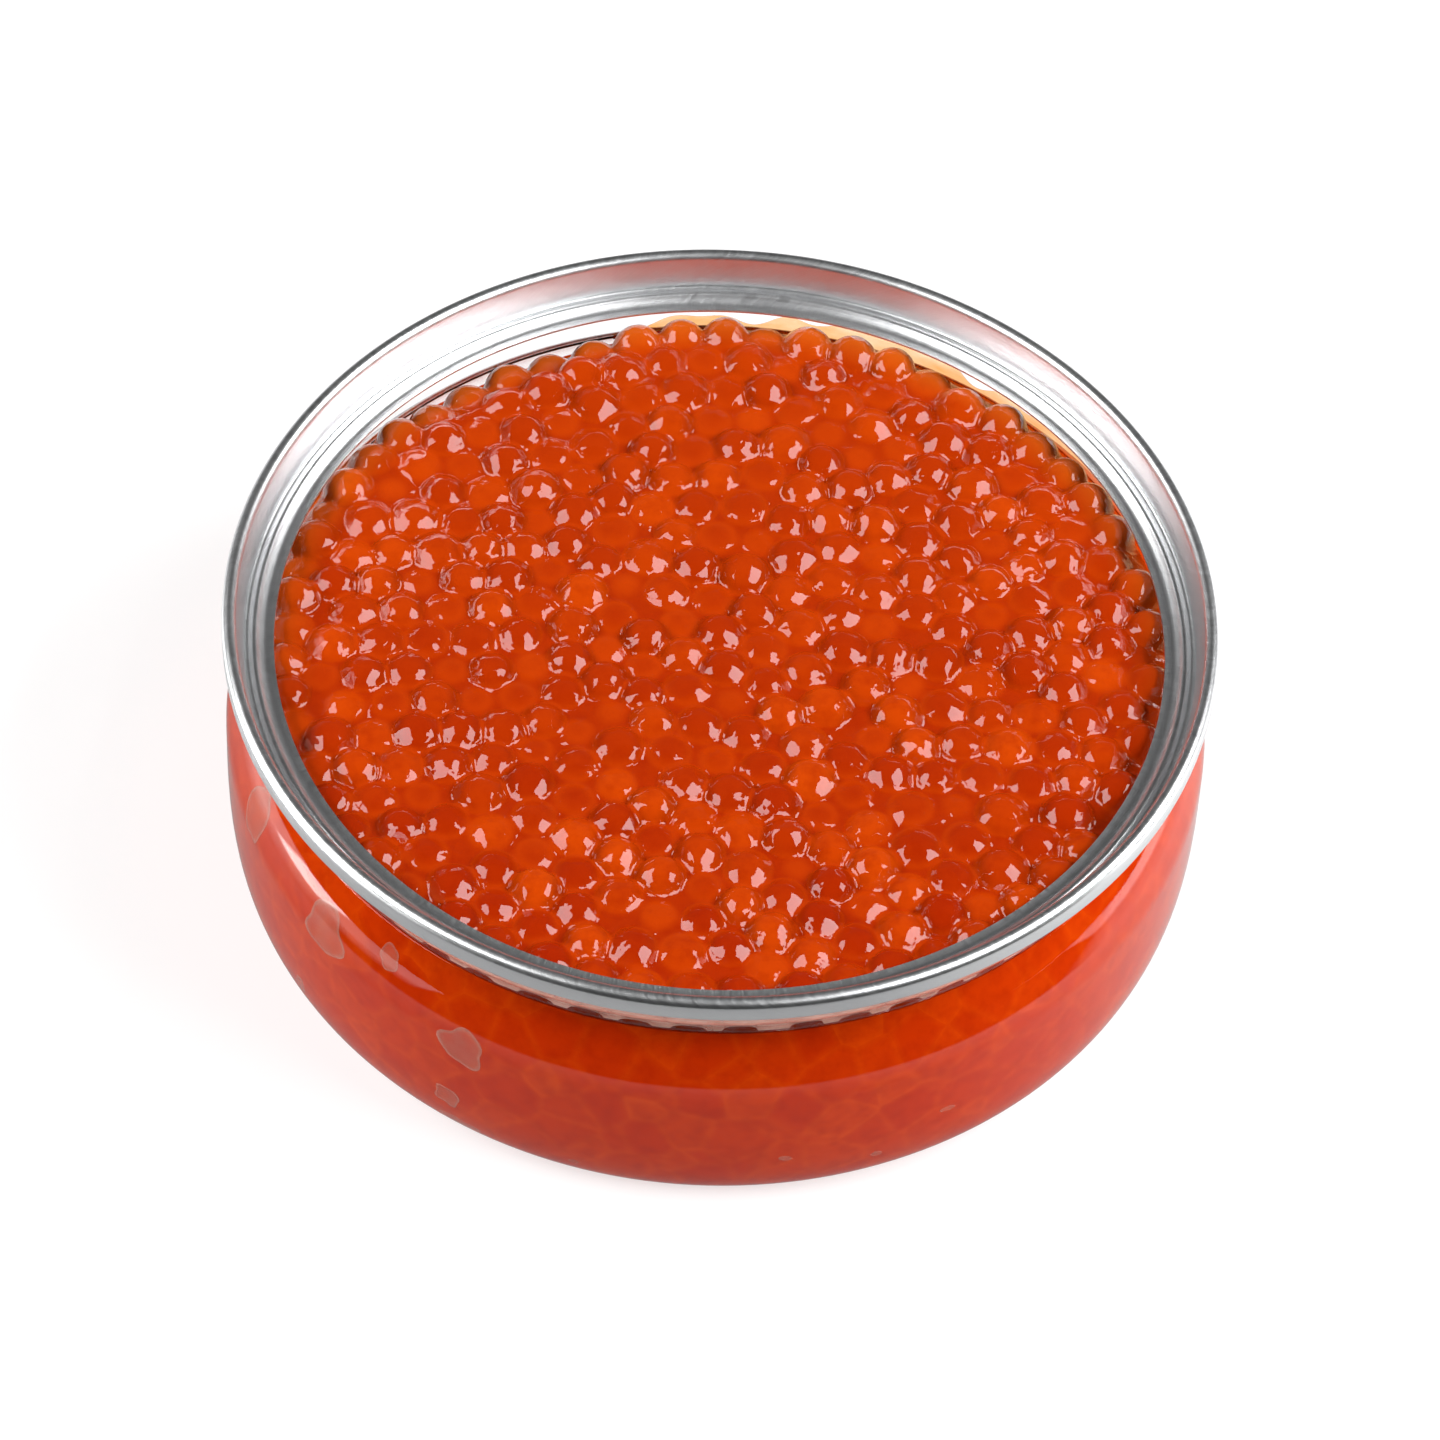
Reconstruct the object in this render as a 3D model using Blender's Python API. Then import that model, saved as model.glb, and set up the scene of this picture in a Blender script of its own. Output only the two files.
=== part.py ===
"""Salmon roe in a low clear plastic can with an open metal ring.

The can is a turned cup of clear plastic. Its neck runs up into the folded seam of an aluminium
ring, which is what stays on the can once the lid panel is pulled off. The roe fills the can to
just below the ring: a core that follows the can's inside, with the eggs of the top layer fused on.

Metres, +Z up. The origin is at the centre of the base, on the surface that the can stands on.
"""
import math
import random

import bmesh
import bpy
from mathutils import Matrix, Vector

MM = 0.001
SIDES = 44                  # flat sides round every turned piece
GAP = 0.3                   # clear space between touching pieces, mm

# Driving dimensions of the can, mm
HEIGHT = 34.2               # from the standing surface to the top of the seam
SEAM_RADIUS = 51.3          # outside of the folded seam
BULGE_RADIUS = 51.1         # widest part of the clear wall
BULGE_HEIGHT = 17.4         # height of that widest part
FOOT_RADIUS = 44.6          # outer edge of the flat ring that the can stands on
FOOT_WIDTH = 2.8
PUSH_UP = 1.2               # rise of the base inside the foot
SHOULDER_RADIUS = 11.1      # rounding of the wall from the bulge up to the waist
SHOULDER_TURN = 45.0        # degrees that it turns through
NECK_RADIUS = 50.2          # clear wall just under the seam
NECK_HEIGHT = 30.6
WALL = 0.5                  # thickness of the clear wall
HEEL_POWER = 3.8            # squareness of the curve from the foot to the bulge

# Driving dimensions of the metal ring, mm
SEAM_WIDTH = 1.5
SEAM_HEIGHT = 2.6
SHEET = 0.25                # thickness of the aluminium
SKIN = 0.3                  # seam's outer skin
FLANGE = 0.35               # plastic flange held inside the seam
FLANGE_FOOT = 0.2           # the flange starts this far up inside the seam
SEAM_CORNER = (0.1, 0.25)   # rounding at the foot of the seam's outer side
CHUCK_RADIUS = 49.15        # foot of the sloping inner wall
CHUCK_DEPTH = 3.55          # how far that foot lies below the top of the seam
GROOVE = 0.42               # radius of the round groove at the chuck wall's foot
RIB_RADIUS = 48.05          # raised rib between the groove and the ledge
RIB_SIZE = (0.42, 0.32)
RIB_DEPTH = 4.0             # depth of the rib's centre; its top is higher by its size
LEDGE_WIDTH = 1.1
CUT_RADIUS = 46.0           # cut edge that the lid panel left
CUT_DEPTH = 4.4

# Driving dimensions of the roe, mm
EGG_SIZE = (2.75, 2.6, 2.45)    # half axes of a middling egg, slightly flattened
EGG_COUNT = 198
EGG_SIDES = 6
EGG_RINGS = 5
EGG_SPREAD = 0.07           # how much the eggs differ in size
EGG_TOP = 29.0              # usual height of an egg's top
EGG_BURIAL = 1.8            # the core's surface lies this far under the egg tops
EGG_LIFT = 0.22             # eggs sit this much higher or lower than usual
EGG_SHAKE = 0.45            # farthest that an egg lies from the even spread, each way
EGG_TILT = 0.12             # farthest that an egg leans, radians
HOLLOW_TURN = 122.0         # direction of the low spot at the wall, degrees from +X
HOLLOW_START = 41.5         # distance from the axis where the low spot starts
HOLLOW_SLOPE = 0.45         # its fall per unit of length
SEED = 11

# Narrow part between the shoulder and the neck, mm
WAIST_RADIUS = BULGE_RADIUS - SHOULDER_RADIUS * (1 - math.cos(math.radians(SHOULDER_TURN)))
WAIST_HEIGHT = BULGE_HEIGHT + SHOULDER_RADIUS * math.sin(math.radians(SHOULDER_TURN))

# Colour, roughness and metallic value of each material
CLEAR_PLASTIC = ((0.90, 0.93, 0.94, 1.0), 0.06, 0.0)
ALUMINIUM = ((0.78, 0.78, 0.79, 1.0), 0.25, 1.0)
ROE = ((0.64, 0.075, 0.005, 1.0), 0.12, 0.0)


def clear_scene():
    """Remove whatever the scene holds."""
    for item in list(bpy.data.objects):
        bpy.data.objects.remove(item, do_unlink=True)


def material(name, finish):
    """A Principled material from a colour, a roughness and a metallic value."""
    colour, roughness, metallic = finish
    made = bpy.data.materials.new(name)
    made.use_nodes = True
    shader = made.node_tree.nodes["Principled BSDF"]
    shader.inputs["Base Color"].default_value = colour
    shader.inputs["Roughness"].default_value = roughness
    shader.inputs["Metallic"].default_value = metallic
    return made


def arc(centre, radii, start, end, steps):
    """Points on an ellipse from one angle to another, in degrees, both ends included."""
    points = []
    for step in range(steps + 1):
        angle = math.radians(start + (end - start) * step / steps)
        points.append((centre[0] + radii[0] * math.cos(angle), centre[1] + radii[1] * math.sin(angle)))
    return points


def offset(path, distance):
    """A path moved sideways, to the left of its direction, by a distance."""
    moved = []
    for index, (x, z) in enumerate(path):
        before = Vector(path[max(index - 1, 0)])
        here = Vector((x, z))
        after = Vector(path[min(index + 1, len(path) - 1)])
        first = (here - before) if index else (after - here)
        second = (after - here) if index < len(path) - 1 else first
        first.normalize()
        second.normalize()
        normal = Vector((-first.y - second.y, first.x + second.x)).normalized()
        stretch = max(0.5, normal.dot(Vector((-first.y, first.x))))
        moved.append(tuple(here + normal * distance / stretch))
    return moved


def turned(name, outline, finish):
    """A solid of revolution from a closed outline of (radius, height) points in mm."""
    mesh = bpy.data.meshes.new(name)
    bm = bmesh.new()
    verts = [bm.verts.new((radius * MM, 0.0, height * MM)) for radius, height in outline]
    open_ends = outline[0][0] == 0.0 and outline[-1][0] == 0.0
    pairs = list(zip(verts, verts[1:]))
    if not open_ends:
        pairs.append((verts[-1], verts[0]))
    edges = [bm.edges.new(pair) for pair in pairs]
    bmesh.ops.spin(bm, geom=verts + edges, cent=(0, 0, 0), axis=(0, 0, 1), angle=math.tau, steps=SIDES)
    bmesh.ops.remove_doubles(bm, verts=bm.verts, dist=0.001 * MM)
    bmesh.ops.recalc_face_normals(bm, faces=bm.faces)
    bm.to_mesh(mesh)
    bm.free()
    made = bpy.data.objects.new(name, mesh)
    bpy.context.scene.collection.objects.link(made)
    mesh.materials.append(material(name + "_finish", finish))
    smooth(mesh)
    return made


def smooth(mesh, sharp_degrees=35):
    """Shade a mesh smooth, apart from its true edges."""
    mesh.shade_smooth()
    mesh.set_sharp_from_angle(angle=math.radians(sharp_degrees))


def heel(steps):
    """Outer curve from the foot's edge to the bulge: a squared-off quarter ellipse."""
    points = []
    for step in range(steps + 1):
        angle = math.pi / 2 * (1 - step / steps)
        out = math.cos(angle) ** (2 / HEEL_POWER) if step else 0.0
        down = math.sin(angle) ** (2 / HEEL_POWER) if step < steps else 0.0
        points.append((FOOT_RADIUS + (BULGE_RADIUS - FOOT_RADIUS) * out, BULGE_HEIGHT * (1 - down)))
    return points


def swell(start, end, steps):
    """Half a cosine wave from one (radius, height) point up to another, without its first point."""
    points = []
    for step in range(1, steps + 1):
        share = step / steps
        ease = (1 - math.cos(math.pi * share)) / 2
        radius = start[0] + (end[0] - start[0]) * ease
        points.append((radius, start[1] + (end[1] - start[1]) * share))
    return points


def clear_wall():
    """Outside of the clear can from the middle of its base up to the neck."""
    foot_inside = FOOT_RADIUS - FOOT_WIDTH
    base = [(0.0, PUSH_UP), (foot_inside - 2 * PUSH_UP, PUSH_UP), (foot_inside, 0.0)]
    centre = (BULGE_RADIUS - SHOULDER_RADIUS, BULGE_HEIGHT)
    shoulder = arc(centre, (SHOULDER_RADIUS, SHOULDER_RADIUS), 0, SHOULDER_TURN, 4)[1:]
    neck = swell((WAIST_RADIUS, WAIST_HEIGHT), (NECK_RADIUS, NECK_HEIGHT), 2)
    return base + heel(6) + shoulder + neck


def seam_slot():
    """Radii and top of the slot in the seam that takes the plastic flange."""
    outer = SEAM_RADIUS - SKIN
    inner = SEAM_RADIUS - SEAM_WIDTH + SHEET
    return inner, outer, HEIGHT - SEAM_WIDTH / 2 + SHEET / 2


def make_can():
    """Clear cup with a thin wall, its neck flared into a flange under the seam."""
    _, slot_outer, slot_top = seam_slot()
    flange_foot = HEIGHT - SEAM_HEIGHT + FLANGE_FOOT
    flange_top = slot_top - GAP
    flange_out = slot_outer - GAP
    flange_in = flange_out - FLANGE
    outside = clear_wall()
    inside = offset(outside, WALL)
    inside[0] = (0.0, inside[0][1])
    neck_inside = inside.pop()
    lip = [(flange_out, flange_foot), (flange_out, flange_top), (flange_in, flange_top)]
    turned("can_body", outside + lip + [neck_inside] + inside[::-1], CLEAR_PLASTIC)


def ring_sheet():
    """Top face of the sheet from the seam's inner side down to the cut edge."""
    groove = arc((CHUCK_RADIUS - GROOVE, HEIGHT - CHUCK_DEPTH), (GROOVE, GROOVE), 0, -120, 2)
    rib = arc((RIB_RADIUS, HEIGHT - RIB_DEPTH), RIB_SIZE, 60, 150, 2)
    ledge = [(CUT_RADIUS + LEDGE_WIDTH, HEIGHT - CUT_DEPTH), (CUT_RADIUS, HEIGHT - CUT_DEPTH)]
    return groove + rib + ledge


def make_ring():
    """Rolled seam, sloping inner wall, groove, rib and the ledge left by the lid panel."""
    slot_inner, slot_outer, slot_top = seam_slot()
    half = SEAM_WIDTH / 2
    bottom = HEIGHT - SEAM_HEIGHT
    in_by, up_by = SEAM_CORNER
    outer_side = [(slot_outer, bottom), (SEAM_RADIUS - in_by, bottom), (SEAM_RADIUS, bottom + up_by)]
    crown = arc((SEAM_RADIUS - half, HEIGHT - half), (half, half), 0, 180, 6)
    sheet = ring_sheet()
    underside = offset([crown[-1]] + sheet, SHEET)[1:]
    slot = [(slot_inner, slot_top), (slot_outer, slot_top)]
    turned("rim_ring", outer_side + crown + sheet + underside[::-1] + slot, ALUMINIUM)


def level_drop(x, y):
    """How far the roe's surface lies below its usual height at a place."""
    turn = math.radians(HOLLOW_TURN)
    along = x * math.cos(turn) + y * math.sin(turn)
    return HOLLOW_SLOPE * max(0.0, along - HOLLOW_START)


def roe_room():
    """The can's inside, less a gap: where the roe may reach."""
    return offset(clear_wall(), WALL + GAP)


def make_core():
    """The mass of roe: it follows the can's inside up to just under the egg tops."""
    surface = EGG_TOP - EGG_BURIAL
    room = roe_room()
    wall = [point for point in room if point[1] < surface]
    wall[0] = (0.0, wall[0][1])
    above = room[len(wall)]
    share = (surface - wall[-1][1]) / (above[1] - wall[-1][1])
    rim_radius = wall[-1][0] + (above[0] - wall[-1][0]) * share
    core = turned("roe", wall + [(rim_radius, surface), (0.0, surface)], ROE)
    cut_low_spot(core, surface)
    return core


def cut_low_spot(core, surface):
    """Take a sloping slice off the core where the roe lies lower against the wall."""
    turn = math.radians(HOLLOW_TURN)
    start = Vector((HOLLOW_START * math.cos(turn), HOLLOW_START * math.sin(turn), surface)) * MM
    normal = Vector((HOLLOW_SLOPE * math.cos(turn), HOLLOW_SLOPE * math.sin(turn), 1.0))
    bm = bmesh.new()
    bm.from_mesh(core.data)
    parts = bm.verts[:] + bm.edges[:] + bm.faces[:]
    cut = bmesh.ops.bisect_plane(bm, geom=parts, plane_co=start, plane_no=normal, clear_outer=True)
    rim = [item for item in cut["geom_cut"] if isinstance(item, bmesh.types.BMEdge)]
    bmesh.ops.holes_fill(bm, edges=rim)
    bmesh.ops.remove_doubles(bm, verts=bm.verts, dist=0.01 * MM)
    bmesh.ops.recalc_face_normals(bm, faces=bm.faces)
    bm.to_mesh(core.data)
    bm.free()


def egg_places(draw):
    """Even spread over the surface: a sunflower spiral with each place shaken a little."""
    reach = WAIST_RADIUS - WALL - GAP - EGG_SIZE[0] * (1 + EGG_SPREAD)
    golden = math.pi * (3 - math.sqrt(5))
    places = []
    for index in range(EGG_COUNT):
        radius = reach * math.sqrt((index + 0.5) / EGG_COUNT)
        angle = index * golden
        shake = min(EGG_SHAKE, reach - radius)
        x = radius * math.cos(angle) + draw.uniform(-shake, shake)
        y = radius * math.sin(angle) + draw.uniform(-shake, shake)
        places.append((x, y))
    return places


def make_egg(place, draw, collection):
    """One egg as a few-sided ball, set to its depth in the roe and turned at random."""
    size = draw.uniform(1 - EGG_SPREAD, 1 + EGG_SPREAD)
    swell = 1 / math.cos(math.pi / EGG_SIDES / 2)
    half_axes = [axis * size * swell for axis in EGG_SIZE[:2]] + [EGG_SIZE[2] * size]
    x, y = place
    lift = draw.uniform(-EGG_LIFT, EGG_LIFT)
    height = EGG_TOP - half_axes[2] + lift - level_drop(x, y)
    mesh = bpy.data.meshes.new("egg")
    bm = bmesh.new()
    bmesh.ops.create_uvsphere(bm, u_segments=EGG_SIDES, v_segments=EGG_RINGS, radius=MM)
    bmesh.ops.scale(bm, vec=half_axes, verts=bm.verts)
    turn = Matrix.Rotation(draw.uniform(0, math.tau), 4, "Z")
    tilt = Matrix.Rotation(draw.uniform(-EGG_TILT, EGG_TILT), 4, "X")
    bmesh.ops.transform(bm, matrix=turn @ tilt, verts=bm.verts)
    bmesh.ops.translate(bm, vec=Vector((x, y, height)) * MM, verts=bm.verts)
    bm.to_mesh(mesh)
    bm.free()
    egg = bpy.data.objects.new("egg", mesh)
    collection.objects.link(egg)


def fuse(core, collection):
    """Join the eggs to the core by one union, then remove the loose eggs."""
    join = core.modifiers.new("eggs", "BOOLEAN")
    join.operation = "UNION"
    join.operand_type = "COLLECTION"
    join.collection = collection
    join.solver = "EXACT"
    bpy.context.view_layer.objects.active = core
    bpy.ops.object.modifier_apply(modifier=join.name)
    for egg in list(collection.objects):
        bpy.data.objects.remove(egg, do_unlink=True)
    bpy.data.collections.remove(collection)
    smooth(core.data, sharp_degrees=50)


def make_roe():
    """The heap of roe: core and eggs as one solid."""
    core = make_core()
    draw = random.Random(SEED)
    collection = bpy.data.collections.new("eggs")
    bpy.context.scene.collection.children.link(collection)
    for place in egg_places(draw):
        make_egg(place, draw, collection)
    fuse(core, collection)


def main():
    clear_scene()
    make_can()
    make_ring()
    make_roe()


main()
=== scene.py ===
"""Looks of the salmon roe in its clear can: finely turned can and ring, eggs, liquid and light."""
import math

import bmesh
import bpy
import numpy as np
from mathutils import Matrix, Vector


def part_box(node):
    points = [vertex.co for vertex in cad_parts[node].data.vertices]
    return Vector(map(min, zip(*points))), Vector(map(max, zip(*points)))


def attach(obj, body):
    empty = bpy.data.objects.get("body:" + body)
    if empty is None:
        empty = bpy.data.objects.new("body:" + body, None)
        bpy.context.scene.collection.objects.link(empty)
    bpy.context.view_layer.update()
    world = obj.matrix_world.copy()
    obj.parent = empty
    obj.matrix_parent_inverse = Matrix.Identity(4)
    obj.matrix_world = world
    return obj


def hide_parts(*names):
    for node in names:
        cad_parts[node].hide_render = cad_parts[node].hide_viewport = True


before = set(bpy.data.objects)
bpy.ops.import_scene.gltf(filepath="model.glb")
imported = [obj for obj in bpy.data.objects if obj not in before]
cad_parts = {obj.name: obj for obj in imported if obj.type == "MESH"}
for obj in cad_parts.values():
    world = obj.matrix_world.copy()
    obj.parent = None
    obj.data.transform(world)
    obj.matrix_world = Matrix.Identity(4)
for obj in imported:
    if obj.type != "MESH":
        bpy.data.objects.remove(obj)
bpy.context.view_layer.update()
MM = 0.001

# Sizes of the can and ring, mm, as in the frame
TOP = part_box("rim_ring")[1].z / MM
SEAM_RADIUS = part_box("rim_ring")[1].x / MM
BULGE_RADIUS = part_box("can_body")[1].x / MM
BULGE_HEIGHT = 17.4
FOOT_RADIUS = 44.6
FOOT_WIDTH = 2.8
PUSH_UP = 1.2
SHOULDER_RADIUS = 11.1
SHOULDER_TURN = 45.0        # degrees that the wall turns inwards over its shoulder
NECK_RADIUS = 50.2
NECK_HEIGHT = 30.6
WALL = 0.5
HEEL_POWER = 3.8
SEAM_WIDTH = 1.5
SEAM_HEIGHT = 2.6
SHEET = 0.22
SIDES = 192                 # flat sides round a finely turned piece
ROUND_RADIUS = 50.0         # textures that run round the can are laid out at this radius
FOOT_POINTS = 9             # points of the wall's outline before it starts to rise
WAIST_RADIUS = BULGE_RADIUS - SHOULDER_RADIUS * (1 - math.cos(math.radians(SHOULDER_TURN)))
WAIST_HEIGHT = BULGE_HEIGHT + SHOULDER_RADIUS * math.sin(math.radians(SHOULDER_TURN))

# Sizes of the roe, mm
EGG_RADIUS = 2.68
EGG_COUNT = 345
EGG_TOP = 29.0              # height of the highest eggs
BED = 22.5                  # the top layer of eggs lies above this height
POOL_DEPTH = 1.75           # liquid stands this far below the egg tops
MASS_DEPTH = 0.45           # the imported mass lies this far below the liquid's level
WALL_LEVEL = 25.35          # where the liquid meets the wall
POOL_EDGE = 43.0            # the liquid starts to fall towards the wall at this radius
HOLLOW_TURN = 122.0         # degrees: the roe lies lower against the wall here
HOLLOW_START = 41.5         # the hollow starts this far out, and deepens by its slope
HOLLOW_SLOPE = 0.45
EGG_DROP = 1.1              # eggs and liquid follow the hollow by this factor
MASS_DROP = 1.9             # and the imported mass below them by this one
FILM_BLEND = 0.40           # how softly the liquid runs from egg to egg
SEED = 11

# Colours of the gel, and of the imported mass behind the wall. The dark and light gel colours also serve
# painted shade and painted light below, and the mass's colours are the gel's brightened, painted light that
# makes up for the dimmer light on the wall.
GEL_DARK = (0.235, 0.0078, 0.0004, 1)
GEL = (0.285, 0.0138, 0.0005, 1)
GEL_LIGHT = (0.47, 0.046, 0.0011, 1)
# Amber of the painted glow where light shines through the back wall into the gel
GEL_BACKLIT_GLOW = (0.62, 0.19, 0.014, 1)
MASS_DARK = (0.34, 0.0125, 0.0005, 1)
MASS = (0.47, 0.024, 0.0007, 1)
MASS_LIGHT = (0.62, 0.062, 0.0015, 1)


def arc(centre, radii, start, end, steps):
    """Points on an ellipse from one angle to another, in degrees, both ends included."""
    points = []
    for step in range(steps + 1):
        angle = math.radians(start + (end - start) * step / steps)
        points.append((centre[0] + radii[0] * math.cos(angle), centre[1] + radii[1] * math.sin(angle)))
    return points


def swell(start, end, steps):
    """Half a cosine wave from one (radius, height) point up to another, without its first point."""
    points = []
    for step in range(1, steps + 1):
        share = step / steps
        ease = (1 - math.cos(math.pi * share)) / 2
        points.append((start[0] + (end[0] - start[0]) * ease, start[1] + (end[1] - start[1]) * share))
    return points


def offset(path, distance):
    """A path moved sideways, to the left of its direction, by a distance."""
    moved = []
    for index, (x, z) in enumerate(path):
        before = Vector(path[max(index - 1, 0)])
        here = Vector((x, z))
        after = Vector(path[min(index + 1, len(path) - 1)])
        first = (here - before) if index else (after - here)
        second = (after - here) if index < len(path) - 1 else first
        first.normalize()
        second.normalize()
        normal = Vector((-first.y - second.y, first.x + second.x)).normalized()
        stretch = max(0.5, normal.dot(Vector((-first.y, first.x))))
        moved.append(tuple(here + normal * distance / stretch))
    return moved


def add_mesh(name, verts, faces, smooth_angle=40):
    """A mesh object from vertices in mm and faces, shaded smooth."""
    mesh = bpy.data.meshes.new(name)
    mesh.from_pydata([tuple(v) for v in (np.asarray(verts) * MM).tolist()], [], faces)
    mesh.shade_smooth()
    mesh.set_sharp_from_angle(angle=math.radians(smooth_angle))
    made = bpy.data.objects.new(name, mesh)
    bpy.context.scene.collection.objects.link(made)
    return made


def turned(name, outline, sides=SIDES, smooth_angle=40):
    """A solid of revolution from a closed outline of (radius, height) points in mm."""
    bm = bmesh.new()
    verts = [bm.verts.new((radius * MM, 0.0, height * MM)) for radius, height in outline]
    pairs = list(zip(verts, verts[1:]))
    if outline[0][0] != 0.0 or outline[-1][0] != 0.0:
        pairs.append((verts[-1], verts[0]))
    edges = [bm.edges.new(pair) for pair in pairs]
    bmesh.ops.spin(bm, geom=verts + edges, cent=(0, 0, 0), axis=(0, 0, 1), angle=math.tau, steps=sides)
    bmesh.ops.remove_doubles(bm, verts=bm.verts, dist=0.001 * MM)
    bmesh.ops.recalc_face_normals(bm, faces=bm.faces)
    mesh = bpy.data.meshes.new(name)
    bm.to_mesh(mesh)
    bm.free()
    mesh.shade_smooth()
    mesh.set_sharp_from_angle(angle=math.radians(smooth_angle))
    made = bpy.data.objects.new(name, mesh)
    bpy.context.scene.collection.objects.link(made)
    return made


def heel(steps):
    """Outer curve from the foot's edge to the bulge: a squared-off quarter ellipse."""
    points = []
    for step in range(steps + 1):
        angle = math.pi / 2 * (1 - step / steps)
        out = math.cos(angle) ** (2 / HEEL_POWER) if step else 0.0
        down = math.sin(angle) ** (2 / HEEL_POWER) if step < steps else 0.0
        points.append((FOOT_RADIUS + (BULGE_RADIUS - FOOT_RADIUS) * out, BULGE_HEIGHT * (1 - down)))
    return points


def clear_wall():
    """Outside of the clear can from the middle of its base up to the neck."""
    foot_inside = FOOT_RADIUS - FOOT_WIDTH
    base = [(0.0, PUSH_UP), (20.0, PUSH_UP), (foot_inside - 2 * PUSH_UP, PUSH_UP)]
    foot = swell((foot_inside - 2 * PUSH_UP, PUSH_UP), (foot_inside, 0.0), 5)
    centre = (BULGE_RADIUS - SHOULDER_RADIUS, BULGE_HEIGHT)
    shoulder = arc(centre, (SHOULDER_RADIUS, SHOULDER_RADIUS), 0, SHOULDER_TURN - 3, 14)[1:]
    waist = Vector((WAIST_RADIUS, WAIST_HEIGHT))
    neck = swell(waist, (NECK_RADIUS, NECK_HEIGHT), 10)
    start, end = Vector(shoulder[-1]), Vector(neck[0])
    bend = [tuple(start.lerp(waist, t).lerp(waist.lerp(end, t), t)) for t in (0.2, 0.4, 0.6, 0.8)]
    return base + foot + heel(20) + shoulder + bend + neck


def inside_radius(height, depth=WALL):
    """Radius of the clear wall at a height, as far inside its outer face as the depth."""
    side = [(z, radius) for radius, z in offset(clear_wall(), depth)[FOOT_POINTS:]]
    return np.interp(height, [z for z, radius in side], [radius for z, radius in side])


class Nodes:
    """Short calls for building a material's nodes."""

    def __init__(self, name):
        self.material = bpy.data.materials.new(name)
        self.material.use_nodes = True
        self.tree = self.material.node_tree
        self.shader = self.tree.nodes["Principled BSDF"]
        self.output = self.tree.nodes["Material Output"]

    def feed(self, socket, value):
        """Link another node's output to a socket, or set the socket's own number or colour."""
        if isinstance(value, bpy.types.NodeSocket):
            self.tree.links.new(value, socket)
        else:
            socket.default_value = value

    def set(self, **inputs):
        """Feed the shader's sockets, named with _ for a space."""
        for key, value in inputs.items():
            self.feed(self.shader.inputs[key.replace("_", " ")], value)

    def math(self, operation, *values):
        node = self.tree.nodes.new("ShaderNodeMath")
        node.operation = operation
        for index, value in enumerate(values):
            self.feed(node.inputs[index], value)
        return node.outputs[0]

    def mix(self, factor, first, second):
        """Colour between the first (factor 0) and the second (factor 1)."""
        node = self.tree.nodes.new("ShaderNodeMix")
        node.data_type = "RGBA"
        for index, value in ((0, factor), (6, first), (7, second)):
            self.feed(node.inputs[index], value)
        return node.outputs[2]

    def span(self, value, low, high, to_low=0.0, to_high=1.0):
        """Map low to high onto to_low to to_high, clamped."""
        node = self.tree.nodes.new("ShaderNodeMapRange")
        for index, number in enumerate((value, low, high, to_low, to_high)):
            self.feed(node.inputs[index], number)
        return node.outputs[0]

    def place(self):
        """Place in the object, in metres."""
        return self.tree.nodes.new("ShaderNodeTexCoord").outputs["Object"]

    def split(self, vector):
        node = self.tree.nodes.new("ShaderNodeSeparateXYZ")
        self.tree.links.new(vector, node.inputs[0])
        return node.outputs

    def attribute(self, name):
        """Number kept for each vertex by store()."""
        node = self.tree.nodes.new("ShaderNodeAttribute")
        node.attribute_name = name
        return node.outputs["Fac"]

    def direction(self, operation, *values):
        node = self.tree.nodes.new("ShaderNodeVectorMath")
        node.operation = operation
        for index, value in enumerate(values):
            self.feed(node.inputs[index], value)
        return node.outputs[0]

    def noise(self, vector, scale, detail=2.0, rough=0.5):
        node = self.tree.nodes.new("ShaderNodeTexNoise")
        self.tree.links.new(vector, node.inputs["Vector"])
        node.inputs["Scale"].default_value = scale
        node.inputs["Detail"].default_value = detail
        node.inputs["Roughness"].default_value = rough
        return node.outputs[0]

    def bump(self, height, strength, distance):
        node = self.tree.nodes.new("ShaderNodeBump")
        self.tree.links.new(height, node.inputs["Height"])
        node.inputs["Strength"].default_value = strength
        node.inputs["Distance"].default_value = distance
        return node.outputs[0]

    def polar(self):
        """Way round the can's wall, distance from its axis and height, all in mm."""
        x, y, z = self.split(self.place())
        turn = self.math("MULTIPLY", self.math("ARCTAN2", y, x), ROUND_RADIUS)
        squares = self.math("ADD", self.math("POWER", x, 2.0), self.math("POWER", y, 2.0))
        out = self.math("MULTIPLY", self.math("SQRT", squares), 1 / MM)
        return turn, out, self.math("MULTIPLY", z, 1 / MM)

    def vector(self, x, y, z):
        node = self.tree.nodes.new("ShaderNodeCombineXYZ")
        for index, value in enumerate((x, y, z)):
            self.feed(node.inputs[index], value)
        return node.outputs[0]

    def let_light_through(self):
        """Light reaches what lies behind the clear shader unbent and without a shadow.

        Gives the shader that lets it through.
        """
        path = self.tree.nodes.new("ShaderNodeLightPath")
        clear = self.tree.nodes.new("ShaderNodeBsdfTransparent")
        choice = self.tree.nodes.new("ShaderNodeMixShader")
        straight = self.math("MAXIMUM", path.outputs["Is Shadow Ray"], path.outputs["Is Diffuse Ray"])
        self.tree.links.new(straight, choice.inputs[0])
        self.tree.links.new(self.shader.outputs[0], choice.inputs[1])
        self.tree.links.new(clear.outputs[0], choice.inputs[2])
        self.tree.links.new(choice.outputs[0], self.output.inputs["Surface"])
        return clear


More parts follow.
